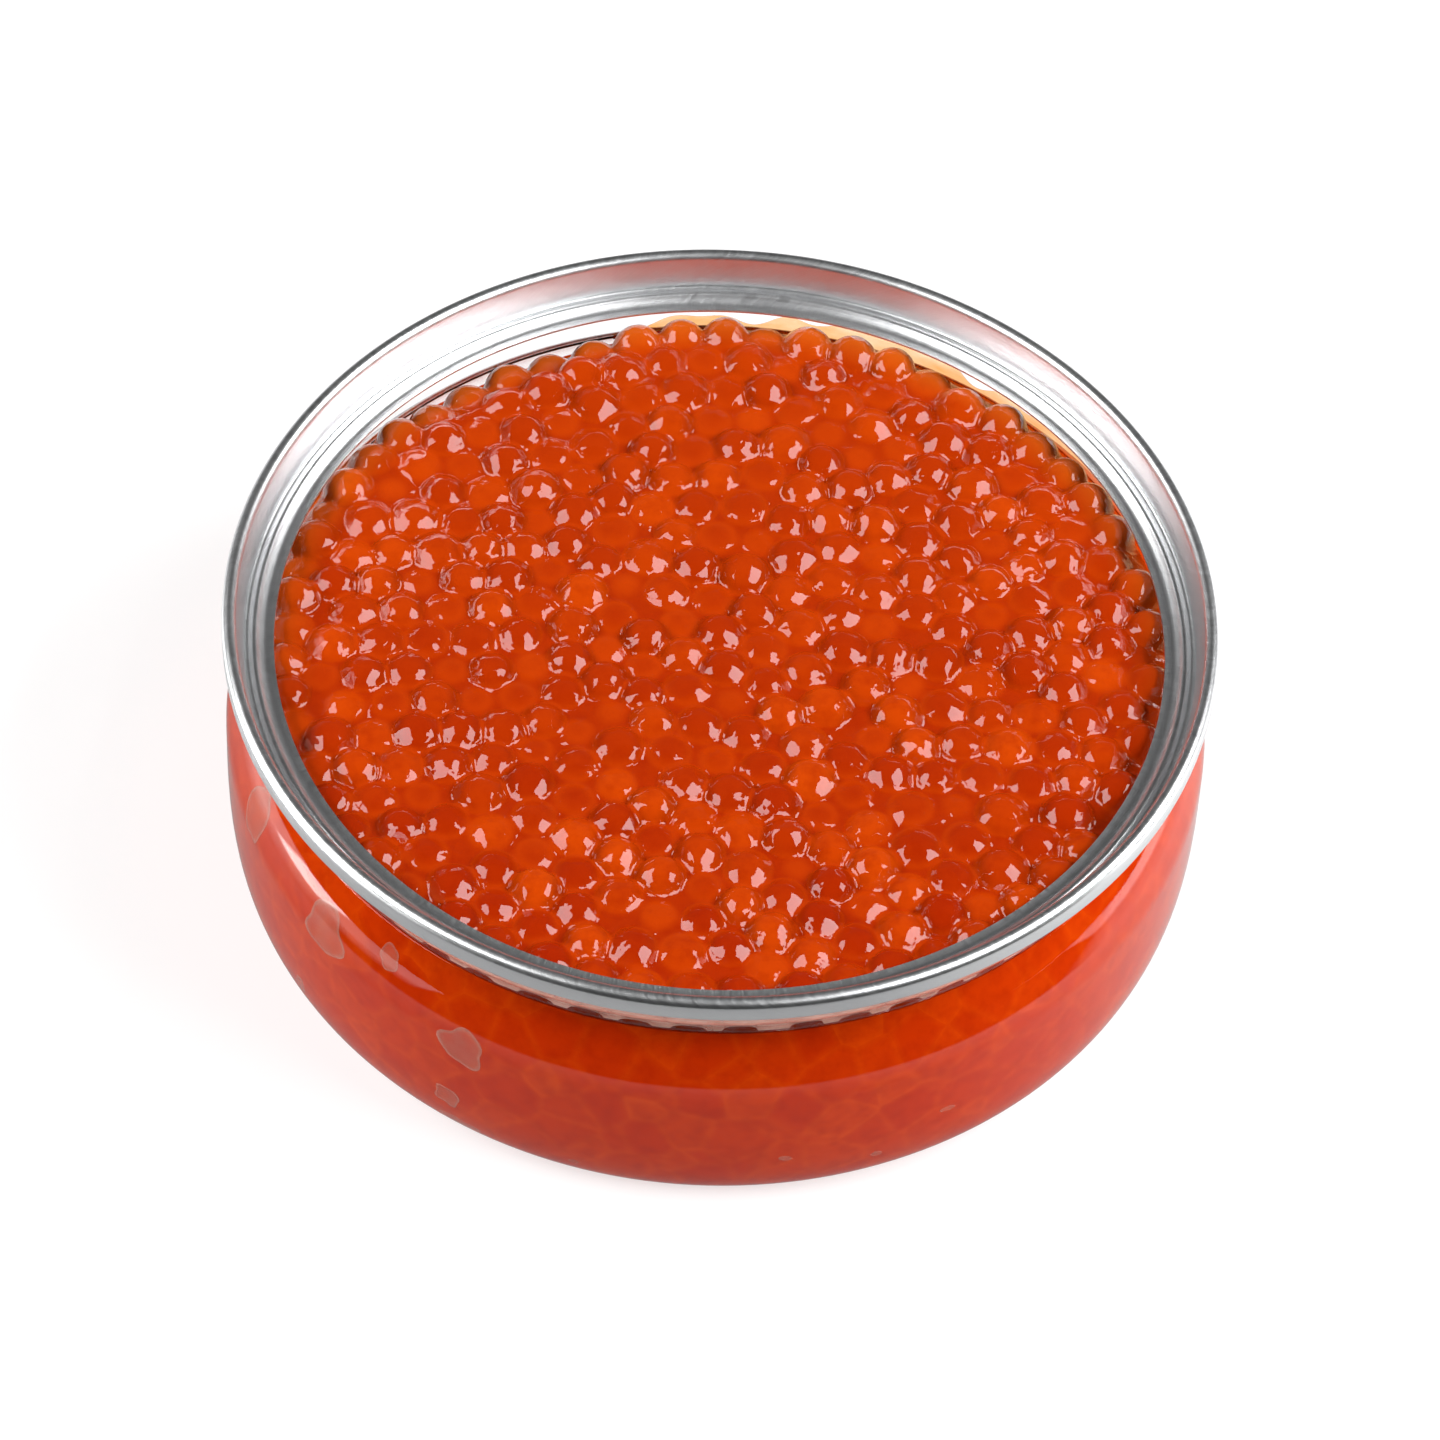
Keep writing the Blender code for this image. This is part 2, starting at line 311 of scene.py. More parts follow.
def metal_material():
    """Rolled aluminium with fine slanted scratches and faint rings."""
    m = Nodes("rolled_aluminium")
    turn, out, height = m.polar()
    slant = m.math("ADD", turn, m.math("MULTIPLY", height, 1.6))
    scratch = m.noise(m.vector(m.math("MULTIPLY", slant, 6.0), m.math("MULTIPLY", height, 0.6),
                               m.math("MULTIPLY", out, 0.6)), 1.0, 3.0, 0.7)
    rings = m.noise(m.vector(m.math("MULTIPLY", turn, 0.02), m.math("MULTIPLY", out, 9.0),
                             m.math("MULTIPLY", height, 9.0)), 1.0, 2.0, 0.6)
    relief = m.math("ADD", m.math("MULTIPLY", scratch, 0.6), m.math("MULTIPLY", rings, 0.4))
    m.set(Base_Color=m.mix(scratch, (0.70, 0.71, 0.72, 1), (0.84, 0.85, 0.86, 1)),
          Roughness=m.span(scratch, 0.3, 0.7, 0.28, 0.42),
          Normal=m.bump(relief, 0.5, 0.00005), Metallic=1.0)
    return m.material


def plastic_material():
    """Clear plastic with faint mould ripples."""
    m = Nodes("clear_plastic")
    turn, out, height = m.polar()
    ripple = m.noise(m.vector(m.math("MULTIPLY", turn, 0.12), 0.0,
                              m.math("MULTIPLY", height, 0.35)), 1.0, 2.0)
    m.set(Base_Color=(0.97, 0.985, 0.99, 1), Roughness=m.span(ripple, 0.3, 0.7, 0.0, 0.01),
          Normal=m.bump(ripple, 0.05, 0.0004), Transmission_Weight=1.0, IOR=1.42)
    m.let_light_through()
    return m.material


def gel_colour(m, tone, dark, usual, light):
    """Colour of the gel: by each egg's tone, cloudy, with painted light making it paler towards the back, and
    a painted amber glow at its edge where light shines through the back wall.
    """
    cloud = m.noise(m.place(), 500.0, 3.0, 0.6)
    back = m.span(m.split(m.place())[1], -0.045, 0.045)
    colour = m.mix(tone, usual, light)
    colour = m.mix(m.span(cloud, 0.42, 0.72, 0.0, 0.5), colour, dark)
    # Painted light: the gel is drawn towards its light colour towards the back, where more light falls.
    colour = m.mix(m.math("MULTIPLY", back, 0.42), colour, light)
    turn, out, height = m.polar()
    # Painted light: an amber glow near the back wall at the liquid's level, for light shining through the
    # wall into the gel.
    edge = m.math("MULTIPLY", m.span(out, 42.5, 47.5), m.span(back, 0.35, 0.9, 0.0, 0.45))
    return m.mix(m.math("MULTIPLY", edge, m.span(height, 23.0, 25.0)), colour, GEL_BACKLIT_GLOW)


def soft_normal(m, share):
    """The surface's direction drawn towards up, as light that spreads inside gel hides its shape."""
    shape = m.tree.nodes.new("ShaderNodeNewGeometry").outputs["Normal"]
    keep = 1 - share
    return m.direction("NORMALIZE", m.direction("MULTIPLY_ADD", shape, (keep, keep, keep), (0.0, 0.0, share)))


def skin_normal(m, rise):
    """Wet skin drawn tight: small dished facets, tilted more in the liquid than on the eggs."""
    sway = m.tree.nodes.new("ShaderNodeTexNoise")
    m.feed(sway.inputs["Vector"], m.place())
    m.feed(sway.inputs["Scale"], 300.0)
    cells = m.tree.nodes.new("ShaderNodeTexVoronoi")
    m.feed(cells.inputs["Scale"], 400.0)
    warped = m.direction("MULTIPLY_ADD", sway.outputs["Color"], (0.0034, 0.0034, 0.0034), m.place())
    m.feed(cells.inputs["Vector"], warped)
    tilt = m.tree.nodes.new("ShaderNodeVectorMath")
    tilt.operation = "SCALE"
    m.feed(tilt.inputs[0], m.direction("SUBTRACT", cells.outputs["Color"], (0.5, 0.5, 0.5)))
    m.feed(tilt.inputs["Scale"], m.span(rise, 0.15, 0.70, 0.50, 0.13))
    shape = m.tree.nodes.new("ShaderNodeNewGeometry").outputs["Normal"]
    dish = m.tree.nodes.new("ShaderNodeBump")
    m.feed(dish.inputs["Height"], m.math("POWER", cells.outputs["Distance"], 2.0))
    m.feed(dish.inputs["Distance"], 0.0003)
    m.feed(dish.inputs["Normal"], m.direction("NORMALIZE", m.direction("ADD", shape, tilt.outputs[0])))
    return dish.outputs[0]


def gel_material(name):
    """Wet gel of eggs and liquid: deep orange-red, with painted shade low down between the eggs and painted
    highlights along the seams between them, glossy.
    """
    m = Nodes(name)
    rise = m.attribute("rise")
    colour = gel_colour(m, m.attribute("tone"), GEL_DARK, GEL, GEL_LIGHT)
    # Painted shade: darker low on the eggs and in the liquid between them, where shade falls in the creases.
    colour = m.mix(m.span(rise, 0.05, 0.75, 0.5, 0.0), colour, GEL_DARK)
    # Painted highlight: lighter along the seams midway between eggs, for light caught in the liquid's menisci
    # there.
    colour = m.mix(m.span(m.attribute("seam"), 0.3, 0.9, 0.0, 0.3), colour, GEL_LIGHT)
    m.set(Base_Color=colour, Normal=soft_normal(m, 0.72), Coat_Normal=skin_normal(m, rise),
          Roughness=0.5, Specular_IOR_Level=0.0, Coat_Weight=1.0, Coat_Roughness=0.01, Coat_IOR=1.36)
    return m.material


def mass_material():
    """Eggs and liquid packed together: faint round cells."""
    m = Nodes("roe_mass")
    cells, edges = (m.tree.nodes.new("ShaderNodeTexVoronoi") for _ in range(2))
    for node in (cells, edges):
        m.feed(node.inputs["Vector"], m.place())
        m.feed(node.inputs["Scale"], 195.0)
    edges.feature = "DISTANCE_TO_EDGE"
    split = m.tree.nodes.new("ShaderNodeSeparateColor")
    m.tree.links.new(cells.outputs["Color"], split.inputs[0])
    egg = m.math("MULTIPLY", m.math("POWER", split.outputs[0], 2.0), 0.35)
    skin = m.span(edges.outputs["Distance"], 0.0, 0.12, 0.26, 0.0)
    # The mass's brighter colours are painted light, making up for the dimmer light that reaches it through
    # the wall.
    colour = gel_colour(m, m.math("ADD", egg, skin), MASS_DARK, MASS, MASS_LIGHT)
    m.set(Base_Color=colour, Normal=soft_normal(m, 0.2), Roughness=0.5, Specular_IOR_Level=0.0)
    return m.material


def wall_film_material():
    """Thin amber liquid left on the inside of the neck."""
    m = Nodes("amber_film")
    turn, out, height = m.polar()
    cloud = m.noise(m.vector(m.math("MULTIPLY", turn, 0.12), 0.0,
                             m.math("MULTIPLY", height, 0.5)), 1.0, 3.0, 0.6)
    thick = m.math("ADD", m.span(height, 25.5, 29.0, 0.75, 0.05), m.span(cloud, 0.3, 0.7, -0.3, 0.3))
    m.set(Base_Color=m.mix(thick, (1.0, 0.84, 0.60, 1), (1.0, 0.36, 0.04, 1)), Roughness=0.03,
          Transmission_Weight=1.0, IOR=1.2)
    clear = m.let_light_through()
    clear.inputs[0].default_value = (1.0, 0.72, 0.35, 1)
    return m.material


def pocket_material(name, cover, dark, pale):
    """Air caught between the roe and the wall: pale, with the gel showing through.

    Cover is how much of the gel it hides, 0 to 1.
    """
    m = Nodes(name)
    cloud = m.noise(m.place(), 260.0, 3.0, 0.6)
    uneven = m.span(cloud, 0.3, 0.7, 0.6 * cover, 1.4 * cover)
    edge = m.span(m.attribute("rim"), 0.80, 0.98, 0.0, 0.16)
    m.set(Base_Color=m.mix(cloud, dark, pale), Alpha=m.math("ADD", uneven, edge), Roughness=0.2,
          Specular_IOR_Level=0.0)
    return m.material


def level_drop(x, y):
    """How far the roe's surface lies below its usual height at a place, mm."""
    turn = math.radians(HOLLOW_TURN)
    along = x * math.cos(turn) + y * math.sin(turn)
    return HOLLOW_SLOPE * np.clip(along - HOLLOW_START, 0, None)


def pool_level(x, y):
    """Height of the liquid between the eggs: uneven, and lower towards the wall."""
    waves = np.sin(x * 0.31 + 1.0) * np.sin(y * 0.27 + 2.0) + np.sin(x * 0.17 - y * 0.23)
    edge = np.clip((np.hypot(x, y) - POOL_EDGE) / (WAIST_RADIUS - WALL - POOL_EDGE), 0, 1)
    level = EGG_TOP - POOL_DEPTH + 0.16 * waves
    level += (WALL_LEVEL - level) * edge ** 2
    return level - EGG_DROP * level_drop(x, y)


def pack_eggs():
    """Settle balls in the top of the can: seeded starts, then pushed apart and drawn up to the top."""
    steps, lift = 240, 0.03
    pressed = 0.93              # eggs press this close, as a share of their radii
    ease = 0.7                  # how much of each push a step makes
    deepest = 0.75
    rng = np.random.default_rng(SEED)
    room = WAIST_RADIUS - WALL + 0.05
    radius = EGG_RADIUS * rng.uniform(0.90, 1.09, EGG_COUNT)
    sunk = deepest * rng.uniform(0, 1, EGG_COUNT) ** 1.5
    turn = rng.uniform(0, math.tau, EGG_COUNT)
    out = (room - EGG_RADIUS) * np.sqrt(rng.uniform(0, 1, EGG_COUNT))
    height = rng.uniform(BED + 3, EGG_TOP - 2, EGG_COUNT)
    place = np.stack([out * np.cos(turn), out * np.sin(turn), height], 1)
    for _ in range(steps):
        place[:, 2] += lift
        gap = place[:, None, :] - place[None, :, :]
        far = np.linalg.norm(gap, axis=2) + np.eye(EGG_COUNT) * 99
        want = (radius[:, None] + radius[None, :]) * pressed
        push = np.clip(want - far, 0, None) / far * 0.5
        place += (gap * push[:, :, None]).sum(1) * ease
        out = np.hypot(place[:, 0], place[:, 1])
        squeeze = np.minimum(1.0, (room - radius) / np.maximum(out, 0.001))
        place[:, :2] *= squeeze[:, None]
        drop = EGG_DROP * level_drop(place[:, 0], place[:, 1])
        ceiling = EGG_TOP - radius - sunk - drop
        place[:, 2] = np.clip(place[:, 2], BED + radius - drop, ceiling)
    return place, radius


def ball(segments, rings):
    """Vertices and faces of a unit ball."""
    bm = bmesh.new()
    bmesh.ops.create_uvsphere(bm, u_segments=segments, v_segments=rings, radius=1.0)
    verts = np.array([v.co[:] for v in bm.verts])
    faces = [[v.index for v in f.verts] for f in bm.faces]
    bm.free()
    return verts, faces


def store(made, name, values):
    """Keep one number for each vertex of a mesh, for its material."""
    layer = made.data.attributes.new(name, "FLOAT", "POINT")
    layer.data.foreach_set("value", np.asarray(values, np.float32))


def make_eggs(place, radius, tones, rng):
    """All eggs in one mesh, each turned and flattened a little on its own."""
    verts, faces = ball(24, 12)
    all_verts, all_faces, rises = [], [], []
    for centre, size in zip(place, radius):
        spin = np.array(Matrix.Rotation(rng.uniform(0, math.tau), 3, "Z")
                        @ Matrix.Rotation(rng.uniform(-0.5, 0.5), 3, "X"))
        widths = [rng.uniform(0.98, 1.03), rng.uniform(0.96, 1.01), rng.uniform(0.93, 0.99)]
        shape = verts * np.array(widths)
        start = len(all_verts) * len(verts)
        shape = shape @ spin.T
        all_verts.append(shape * size + centre)
        all_faces += [[index + start for index in face] for face in faces]
        rises.append(shape[:, 2])
    made = add_mesh("eggs", np.concatenate(all_verts), all_faces, 80)
    store(made, "tone", np.repeat(tones, len(verts)))
    store(made, "rise", np.concatenate(rises))
    return made


def wet_surface(x, y, place, radius, tones):
    """Height of the liquid drawn up over the eggs, and the gel's tone, rise and seams there.

    Rise is the height over the eggs' middles in egg radii, and seams are 1 midway between two eggs.
    """
    cover = 1.02
    skin = 1.01
    loose_tone = 0.3
    pool = pool_level(x, y)
    total = np.ones(x.shape)
    most = np.ones(x.shape)
    tone = np.full(x.shape, loose_tone)
    base = np.array(pool - 0.25 * EGG_RADIUS)
    for (cx, cy, cz), size, mark in zip(place, radius, tones):
        reach = size * cover
        near = (np.abs(x - cx) < reach) & (np.abs(y - cy) < reach)
        flat = ((x[near] - cx) ** 2 + (y[near] - cy) ** 2) / reach ** 2
        dome = cz + size * skin * np.sqrt(np.clip(1 - flat, 0, None))
        pull = np.exp((dome - pool[near]) / FILM_BLEND) * (flat < 1)
        total[near] += pull
        most[near] = np.maximum(most[near], pull)
        tone[near] += pull * mark
        base[near] += pull * cz
    height = pool + FILM_BLEND * np.log(total)
    return height, tone / total, (height - base / total) / EGG_RADIUS, 2 * (1 - most / total)


def disc_grid(reach, step, most):
    """Points on rings round the middle and the triangles between them.

    Also gives the last ring's first point and its count. No ring has more than the most points.
    """
    radii = np.linspace(0.0, reach, int(reach / step) + 1)[1:]
    counts = [min(most, max(6, int(round(math.tau * r / step / 6)) * 6)) for r in radii]
    points = [(0.0, 0.0)]
    starts = []
    for r, count in zip(radii, counts):
        starts.append(len(points))
        turn = np.arange(count) * math.tau / count
        points += list(zip((r * np.cos(turn)).tolist(), (r * np.sin(turn)).tolist()))
    faces = [[0, 1 + k, 1 + (k + 1) % counts[0]] for k in range(counts[0])]
    for ring in range(1, len(counts)):
        inner, outer = counts[ring - 1], counts[ring]
        i = j = 0
        while i < inner or j < outer:
            a = starts[ring - 1] + i % inner
            b = starts[ring] + j % outer
            if i >= inner or (j < outer and (j + 1) / outer <= (i + 1) / inner):
                faces.append([a, b, starts[ring] + (j + 1) % outer])
                j += 1
            else:
                faces.append([a, b, starts[ring - 1] + (i + 1) % inner])
                i += 1
    return np.array(points), faces, starts[-1], counts[-1]


def make_film(place, radius, tones):
    """Closed body of liquid, drawn up over the eggs and reaching into the wall."""
    into_wall = 0.1
    step, most = 0.28, 1080
    under_mass = 0.6
    reach = WAIST_RADIUS - WALL + into_wall
    flat, faces, last, count = disc_grid(reach, step, most)
    height, tone, rise, seam = wet_surface(flat[:, 0], flat[:, 1], place, radius, tones)
    at_wall = np.minimum(inside_radius(height[last:]) + into_wall, reach + 0.5)
    flat[last:] *= (at_wall / reach)[:, None]
    rim = flat[last:]
    low = pool_level(rim[:, 0], rim[:, 1]) - MASS_DEPTH - under_mass
    first = len(flat)
    for k in range(count):
        following = (k + 1) % count
        faces.append([last + k, first + k, first + following, last + following])
        faces.append([first + count, first + following, first + k])
    middle = [(0.0, 0.0, EGG_TOP - POOL_DEPTH - MASS_DEPTH - 1.0)]
    verts = np.concatenate([np.column_stack([flat, height]), np.column_stack([rim, low]), middle])
    made = add_mesh("film", verts, faces, 80)
    below = np.zeros(count + 1)
    store(made, "tone", np.concatenate([tone, below]))
    store(made, "rise", np.concatenate([rise, below]))
    store(made, "seam", np.concatenate([seam, below]))
    return made


def make_core():
    """The mass of eggs and liquid against the can's wall and base, up to just under the liquid's level."""
    into_wall = 0.3
    bend = 12.0                 # the hollow pulls the wall's rows down above this height
    depth = WALL - into_wall
    wall = [point for point in offset(clear_wall(), depth) if point[1] < WALL_LEVEL - 0.1][::-1]
    reach = wall[0][0] - 0.4
    flat, faces, last, count = disc_grid(reach, 1.2, 180)
    top = pool_level(flat[:, 0], flat[:, 1]) - MASS_DEPTH
    verts = np.column_stack([flat, top]).tolist()
    rim = flat[last:] / reach
    rows = [list(range(last, last + count))]
    for radius, height in wall[:-1]:
        rows.append(list(range(len(verts), len(verts) + count)))
        drop = MASS_DROP * level_drop(rim[:, 0] * WAIST_RADIUS, rim[:, 1] * WAIST_RADIUS)
        level = height - drop * max(0.0, height - bend) / (WALL_LEVEL - bend)
        out = inside_radius(level, depth) if height > bend else np.full(count, radius)
        verts += np.column_stack([rim * out[:, None], level]).tolist()
    for upper, lower in zip(rows, rows[1:]):
        for k in range(count):
            following = (k + 1) % count
            faces.append([upper[k], lower[k], lower[following], upper[following]])
    verts.append((0.0, 0.0, wall[-1][1]))
    for k in range(count):
        faces.append([rows[-1][(k + 1) % count], rows[-1][k], len(verts) - 1])
    return add_mesh("roe_core", verts, faces, 60)


def ribbon_faces(steps, rows):
    """Faces of a closed ribbon round the can.

    Each step has its points from bottom to top on the outside, then again on the inside.
    """
    ring = 2 * (rows + 1)
    around = list(range(rows + 1)) + list(range(ring - 1, rows, -1))
    faces = []
    for step in range(steps):
        here, there = step * ring, (step + 1) * ring
        for k in range(ring):
            a, b = around[k], around[(k + 1) % ring]
            faces.append([here + a, there + a, there + b, here + b])
    faces.append(around[::-1])
    faces.append([steps * ring + index for index in around])
    return faces


def make_wall_film():
    """Skin of liquid on the inside of the neck at the back and right, with a ragged upper edge."""
    start, end, steps, rows = -38.0, 106.0, 288, 8
    verts = []
    for step in range(steps + 1):
        share = step / steps
        turn = math.radians(start + (end - start) * share)
        taper = min(1.0, 9 * share, 9 * (1 - share))
        wave = math.sin(11 * turn + 1) + 0.6 * math.sin(23 * turn) + 0.4 * math.sin(47 * turn + 2)
        edge = WALL_LEVEL + (2.0 + 0.75 * wave) * taper + 0.1
        for side in (0, 1):
            for row in range(rows + 1):
                height = WALL_LEVEL - 0.8 + (edge - WALL_LEVEL + 0.8) * row / rows
                thick = 0.03 + 0.16 * (1 - row / rows)
                radius = float(inside_radius(height)) + 0.05 - side * thick
                verts.append((radius * math.cos(turn), radius * math.sin(turn), height))
    return add_mesh("wall_film", verts, ribbon_faces(steps, rows), 60)


def make_neck_gap(place, radius):
    """Pale gap between the eggs and the neck at the front, with an edge scalloped by the eggs."""
    start, end, steps, rows = 196.0, 344.0, 444, 6
    top = NECK_HEIGHT - 0.3
    deepest = 1.7               # the scallops rise this far above the waist at most
    at_wall = np.hypot(place[:, 0], place[:, 1]) + radius > WAIST_RADIUS - WALL - 0.4
    turns = np.arctan2(place[at_wall, 1], place[at_wall, 0])
    touch = 0.68 * radius[at_wall]
    verts = []
    for step in range(steps + 1):
        turn = math.radians(start + (end - start) * step / steps)
        away = WAIST_RADIUS * np.abs((turns - turn + math.pi) % math.tau - math.pi)
        arch = place[at_wall, 2] + np.sqrt(np.clip(touch ** 2 - away ** 2, 0, None))
        scallop = float(np.where(away < touch, arch - 1.0, 0).max())
        low = min(max(WAIST_HEIGHT, scallop), WAIST_HEIGHT + deepest)
        for side in (0, 1):
            for row in range(rows + 1):
                height = low + (top - low) * row / rows
                out = float(inside_radius(height)) + 0.06 - 0.03 * side
                verts.append((out * math.cos(turn), out * math.sin(turn), height))
    made = add_mesh("neck_gap", verts, ribbon_faces(steps, rows), 60)
    store(made, "rim", np.zeros(len(verts)))
    return made


def make_air_pockets():
    """Flat pockets of air against the inside of the wall, each an uneven rounded outline.

    Each has its turn in degrees, height, half width and half height in mm, and number of corners.
    """
    depth, thick = 0.34, 0.05
    pockets = [(202.5, 20.8, 2.1, 3.6, 2), (220.5, 19.5, 3.0, 3.1, 3), (230.5, 22.5, 1.3, 1.2, 2),
               (242.0, 17.0, 2.6, 2.8, 3), (240.0, 7.5, 1.5, 1.6, 4), (215.0, 5.5, 0.8, 1.5, 2),
               (241.0, 2.9, 2.4, 0.9, 3), (300.0, 9.8, 0.8, 0.4, 2), (280.5, 7.8, 0.7, 0.4, 2),
               (291.5, 5.5, 0.7, 0.4, 2), (256.0, 3.8, 0.6, 0.35, 2)]
    sides, rings = 28, 4
    verts, faces, rims = [], [], []
    for number, (turn, height, wide, high, corners) in enumerate(pockets):
        start = len(verts)
        for layer in (0, 1):
            for ring in range(rings + 1):
                for k in range(sides if ring else 1):
                    angle = math.tau * k / sides
                    uneven = (1 + 0.13 * math.cos(corners * angle + number)
                              + 0.07 * math.sin(5 * angle + 2 * number))
                    reach = uneven * ring / rings
                    z = height + high * reach * math.sin(angle)
                    swollen = layer * thick * (1 - (ring / rings) ** 4)
                    radius = float(inside_radius(z, WALL - depth)) + swollen
                    rims.append(ring / rings)
                    theta = math.radians(turn) + wide * reach * math.cos(angle) / radius
                    verts.append((radius * math.cos(theta), radius * math.sin(theta), z))
        size = 1 + sides * rings
        for layer in (0, 1):
            base = start + layer * size
            for k in range(sides):
                following = (k + 1) % sides
                triangle = [base, base + 1 + k, base + 1 + following]
                faces.append(triangle if layer else triangle[::-1])
                for ring in range(rings - 1):
                    a, b = base + 1 + ring * sides, base + 1 + (ring + 1) * sides
                    quad = [a + k, b + k, b + following, a + following]
                    faces.append(quad if layer else quad[::-1])
        for k in range(sides):
            following = (k + 1) % sides
            a, b = start + 1 + (rings - 1) * sides, start + size + 1 + (rings - 1) * sides
            faces.append([a + k, a + following, b + following, b + k])
    made = add_mesh("air_pockets", verts, faces, 80)
    store(made, "rim", rims)
    return made


def make_can():
    """Clear cup with its flange in the seam."""
    flange_out = SEAM_RADIUS - 0.6
    flange_in = flange_out - 0.35
    flange_top = TOP - SEAM_WIDTH / 2 - 0.2
    outside = clear_wall()
    inside = offset(outside, WALL)
    inside[0] = (0.0, inside[0][1])
    neck_inside = inside.pop()
    lip = [(flange_out, TOP - SEAM_HEIGHT + 0.2), (flange_out, flange_top), (flange_in, flange_top)]
    return turned("can_wall", outside + lip + [neck_inside] + inside[::-1], SIDES, 50)


def make_ring():
    """Rolled seam, sloping inner wall, groove, rib and the ledge left by the lid panel."""
    half = SEAM_WIDTH / 2
    bottom = TOP - SEAM_HEIGHT
    edge = 0.3                  # rounding of the seam's lower edge
    side = arc((SEAM_RADIUS - edge, bottom + edge), (edge, edge), -90, 0, 5)
    crown = arc((SEAM_RADIUS - half, TOP - half), (half, half), 0, 180, 20)
    chuck = (49.15, TOP - 3.55)
    groove = arc((chuck[0] - 0.42, chuck[1]), (0.42, 0.42), 0, -120, 8)
    rib = arc((48.05, TOP - 4.0), (0.42, 0.32), 60, 150, 8)
    ledge = [(47.2, TOP - 4.36), (46.7, TOP - 4.42), (46.25, TOP - 4.4), (46.0, TOP - 4.38)]
    sheet = groove + rib + ledge
    underside = offset([crown[-1]] + sheet, SHEET)[1:]
    slot_top = TOP - half + 0.12
    slot = [(SEAM_RADIUS - SEAM_WIDTH + SHEET, slot_top), (SEAM_RADIUS - edge, slot_top)]
    outline = [(SEAM_RADIUS - edge, bottom + 0.02)] + side + crown + sheet + underside[::-1] + slot
    return turned("metal_ring", outline, 256, 50)


def make_camera():
    """Camera at the photograph's angle, fitted to the ring's outline."""
    data = bpy.data.cameras.new("camera")
    camera = bpy.data.objects.new("camera", data)
    bpy.context.scene.collection.objects.link(camera)
    pixels = 1440
    focal_pixels = 7491.0
    data.sensor_width = 36.0
    data.lens = focal_pixels / pixels * data.sensor_width
    data.clip_end = 20.0
    elevation = math.radians(49.33)
    roll = math.radians(-2.91)
    distance = 15.01 * SEAM_RADIUS * MM
    centre_pixel = (715.9, 609.9)
    eye = Vector((0, -math.cos(elevation), math.sin(elevation))) * distance
    ahead = -eye.normalized()
    right = Vector((1, 0, 0))
    up = right.cross(ahead)
    yaw = math.atan2(centre_pixel[0] - pixels / 2, focal_pixels)
    pitch = math.atan2(pixels / 2 - centre_pixel[1], focal_pixels)

    def swung(first, second, angle):
        return (first * math.cos(angle) + second * math.sin(angle),
                second * math.cos(angle) - first * math.sin(angle))

    right, ahead = swung(right, ahead, yaw)
    up, ahead = swung(up, ahead, pitch)
    up, right = swung(up, right, roll)
    turn = Matrix((right, up, -ahead)).transposed().to_4x4()
    camera.matrix_world = Matrix.Translation(eye + Vector((0, 0, TOP * MM))) @ turn
    bpy.context.scene.camera = camera


def make_floor():
    """Plain pale floor."""
    side, front, back = 1.5, -0.35, 2.0
    corners = [(-side, front, 0), (side, front, 0), (side, back, 0), (-side, back, 0)]
    mesh = bpy.data.meshes.new("floor")
    mesh.from_pydata(corners, [], [(0, 1, 2, 3)])
    floor = bpy.data.objects.new("floor", mesh)
    bpy.context.scene.collection.objects.link(floor)
    m = Nodes("pale_floor")
    grain = m.noise(m.place(), 40.0, 3.0)
    m.set(Base_Color=m.mix(grain, (0.34, 0.34, 0.34, 1), (0.36, 0.36, 0.36, 1)), Roughness=0.5,
          Emission_Color=(1, 1, 1, 1), Emission_Strength=0.66, Specular_IOR_Level=0.2)
    mesh.materials.append(m.material)


def make_card():
    """Card round the can that only its reflections show: grey, dark in front, with bright patches.

    A patch has its side, where it starts and is full in metres to that side, its lowest and highest
    y to x, and its strength.
    """
    radius, lift = 0.7, 0.0005
    outline = [(x, y, lift) for x, y in arc((0, 0), (radius, radius), 0, 355, 71)]
    mesh = bpy.data.meshes.new("card")
    mesh.from_pydata(outline, [], [tuple(range(len(outline)))])
    card = bpy.data.objects.new("card", mesh)
    bpy.context.scene.collection.objects.link(card)
    m = Nodes("reflected_card")
    turn, out, height = m.polar()
    x, y, z = m.split(m.place())
    dark = m.math("MULTIPLY", m.span(out, 84.0, 90.0), m.span(y, -0.030, -0.045))
    lean = m.math("DIVIDE", y, m.math("ABSOLUTE", x))
    grey = m.math("ADD", m.span(x, 0.03, 0.09, 0.0, 0.8), m.span(out, 66.0, 86.0, 0.36, 0.80))
    glow = m.math("MULTIPLY", grey, m.math("SUBTRACT", 1.0, dark))
    patches = ((-1, 0.13, 0.15, -0.30, -0.06, 11.0), (-1, 0.09, 0.14, -0.84, 0.46, 2.4),
               (1, 0.14, 0.18, -0.27, 0.21, 3.0))
    soft = 0.02
    for side, near, full, low, high, strength in patches:
        far = m.span(m.math("MULTIPLY", x, side), near, full, 0.0, strength)
        across = m.math("MULTIPLY", m.span(lean, low - soft, low + soft),
                        m.span(lean, high + soft, high - soft))
        glow = m.math("ADD", glow, m.math("MULTIPLY", far, across))
    m.set(Base_Color=(0.01, 0.01, 0.01, 1), Emission_Color=(1, 1, 1, 1), Emission_Strength=glow,
          Specular_IOR_Level=0.0)
    mesh.materials.append(m.material)
    card.visible_camera = False
    card.visible_diffuse = False
    card.visible_transmission = False
    card.visible_shadow = False


